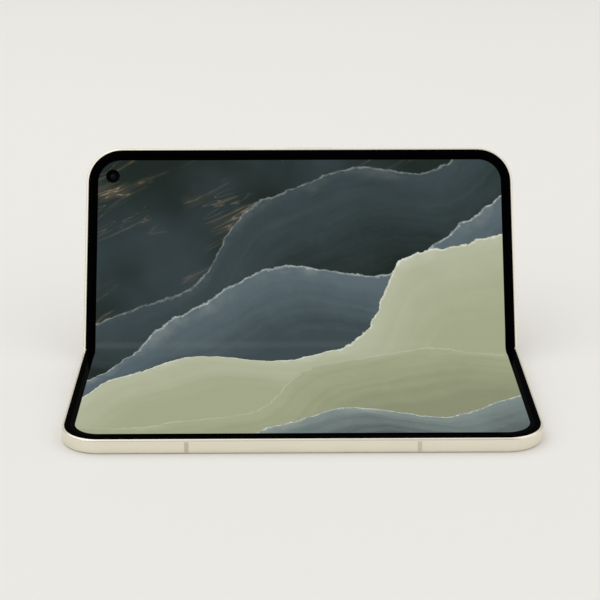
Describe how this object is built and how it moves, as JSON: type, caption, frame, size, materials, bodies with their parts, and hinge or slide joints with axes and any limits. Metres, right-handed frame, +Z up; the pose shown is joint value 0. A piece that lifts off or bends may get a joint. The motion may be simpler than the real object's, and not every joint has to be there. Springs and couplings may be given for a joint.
{
  "type": "foldable smartphone",
  "caption": "Book-style folding phone, half open like a small laptop, with a folding inner screen, geared hinge, cover screen, side keys and camera island.",
  "frame": {"origin": "centre of the lower half's outer face, which lies on the table", "axes": "+X along the fold to the right, +Y away from the user towards the fold, +Z up"},
  "size_m": [0.1552, 0.1171, 0.0687],
  "materials": {
    "satin_metal": "satin champagne",
    "spine_metal": "satin champagne",
    "break_plastic": "matt",
    "soft_trim": "matt black",
    "inner_screen": "glossy folding display",
    "cover_screen": "black glass",
    "back_pane": "matt frosted glass",
    "lens_black": "dark lens",
    "lamp_white": "diffuser",
    "sheet_steel": "satin",
    "hinge_steel": "polished",
    "cell_wrap": "foil pouch",
    "board_green": "solder mask",
    "module_black": "matt",
    "heavy_mass": "ground",
    "coil_copper": "enamelled copper",
    "flex_amber": "film"
  },
  "bodies": {
    "lower_half": {"lower_frame": "satin_metal", "lower_support_sheet": "sheet_steel", "lower_bezel_trim": "soft_trim", "cover_glass": "cover_screen", "cover_display_panel": "module_black", "cover_camera": "lens_black", "lower_battery": "cell_wrap", "lower_board": "board_green", "card_reader": "sheet_steel", "earpiece_speaker": "module_black", "haptic_motor_case": "sheet_steel", "lower_antenna_breaks": "break_plastic", "lower_magnets": "heavy_mass", "lower_screws": "hinge_steel", "inner_display_lower": "inner_screen", "swing_arm_lower_left": "hinge_steel", "swing_arm_lower_right": "hinge_steel"},
    "card_tray": {"card_tray": "satin_metal"},
    "haptic_mass": {"haptic_motor_mass": "heavy_mass"},
    "spine": {"spine_cover": "spine_metal", "hinge_base_left": "hinge_steel", "hinge_base_right": "hinge_steel", "gear_pins": "hinge_steel", "ribbon_cable_left": "flex_amber", "ribbon_cable_right": "flex_amber", "inner_display_fold": "inner_screen"},
    "upper_half": {"upper_frame": "satin_metal", "upper_support_sheet": "sheet_steel", "upper_bezel_trim": "soft_trim", "back_glass": "back_pane", "camera_island": "satin_metal", "wide_camera": "lens_black", "ultrawide_camera": "lens_black", "tele_camera": "lens_black", "flash_lamp": "lamp_white", "inner_camera": "lens_black", "main_board": "board_green", "board_shield": "sheet_steel", "upper_battery": "cell_wrap", "charging_coil": "coil_copper", "charging_socket": "sheet_steel", "loudspeaker": "module_black", "side_key_switches": "flex_amber", "upper_antenna_breaks": "break_plastic", "upper_magnets": "heavy_mass", "upper_screws": "hinge_steel", "inner_display_upper": "inner_screen", "swing_arm_upper_left": "hinge_steel", "swing_arm_upper_right": "hinge_steel"},
    "power_key": {"power_key": "satin_metal"},
    "volume_key": {"volume_key": "satin_metal"},
    "wing_lower": {"wing_plate_lower": "sheet_steel"},
    "wing_upper": {"wing_plate_upper": "sheet_steel"},
    "sync_lower": {"sync_arm_lower_left": "hinge_steel", "sync_arm_lower_right": "hinge_steel"},
    "sync_upper": {"sync_arm_upper_left": "hinge_steel", "sync_arm_upper_right": "hinge_steel"},
    "idler_lower": {"idler_gears_lower": "hinge_steel"},
    "idler_upper": {"idler_gears_upper": "hinge_steel"}
  },
  "joints": [
    {"name": "lower_fold", "type": "hinge", "parent": "lower_half", "child": "spine", "pos_m": [0, 0.03625, 0.00395], "axis": [1, 0, 0], "range_deg": [-29.5, 60.5], "deforming": ["inner_display_fold", "ribbon_cable_left", "ribbon_cable_right"]},
    {"name": "upper_fold", "type": "hinge", "parent": "spine", "child": "upper_half", "pos_m": [0, 0.03851, 0.00523], "axis": [1, 0, 0], "range_deg": [-29.5, 60.5]},
    {"name": "sync_lower_turn", "type": "hinge", "parent": "spine", "child": "sync_lower", "pos_m": [0, 0.03537, 0.00224], "axis": [1, 0, 0], "range_deg": [-60.5, 29.5]},
    {"name": "sync_upper_turn", "type": "hinge", "parent": "spine", "child": "sync_upper", "pos_m": [0, 0.04043, 0.00511], "axis": [1, 0, 0], "range_deg": [-29.5, 60.5]},
    {"name": "idler_lower_turn", "type": "hinge", "parent": "spine", "child": "idler_lower", "pos_m": [0, 0.03732, 0.00266], "axis": [1, 0, 0], "range_deg": [-29.5, 60.5]},
    {"name": "idler_upper_turn", "type": "hinge", "parent": "spine", "child": "idler_upper", "pos_m": [0, 0.03906, 0.00365], "axis": [1, 0, 0], "range_deg": [-60.5, 29.5]},
    {"name": "wing_lower_dip", "type": "hinge", "parent": "lower_half", "child": "wing_lower", "pos_m": [0, 0.03055, 0.0043], "axis": [1, 0, 0], "range_deg": [-10.09, 4.92]},
    {"name": "wing_upper_dip", "type": "hinge", "parent": "upper_half", "child": "wing_upper", "pos_m": [0, 0.04115, 0.0103], "axis": [1, 0, 0], "range_deg": [-4.92, 10.09]},
    {"name": "power_press", "type": "slide", "parent": "upper_half", "child": "power_key", "axis": [0, -0.515, -0.8572], "range_m": [0, 0.00025], "stiffness_N_per_m": 2000},
    {"name": "volume_rock", "type": "hinge", "parent": "upper_half", "child": "volume_key", "pos_m": [0.00325, 0.07692, 0.06644], "axis": [0, -0.8572, 0.515], "range_deg": [-1, 1], "stiffness_Nm_per_rad": 1},
    {"name": "tray_slide", "type": "slide", "parent": "lower_half", "child": "card_tray", "axis": [1, 0, 0], "range_m": [0, 0.012]},
    {"name": "haptic_shake", "type": "slide", "parent": "lower_half", "child": "haptic_mass", "axis": [1, 0, 0], "range_m": [-0.0003, 0.0003], "stiffness_N_per_m": 1800}
  ],
  "couplings": [
    {"joint": "upper_fold", "follows": "lower_fold", "ratio": 1},
    {"joint": "sync_lower_turn", "follows": "lower_fold", "ratio": -1},
    {"joint": "sync_upper_turn", "follows": "lower_fold", "ratio": 1},
    {"joint": "idler_lower_turn", "follows": "lower_fold", "ratio": 1},
    {"joint": "idler_upper_turn", "follows": "lower_fold", "ratio": -1},
    {"joint": "wing_lower_dip", "follows": "lower_fold", "ratio": -0.16667},
    {"joint": "wing_upper_dip", "follows": "lower_fold", "ratio": 0.16667}
  ]
}
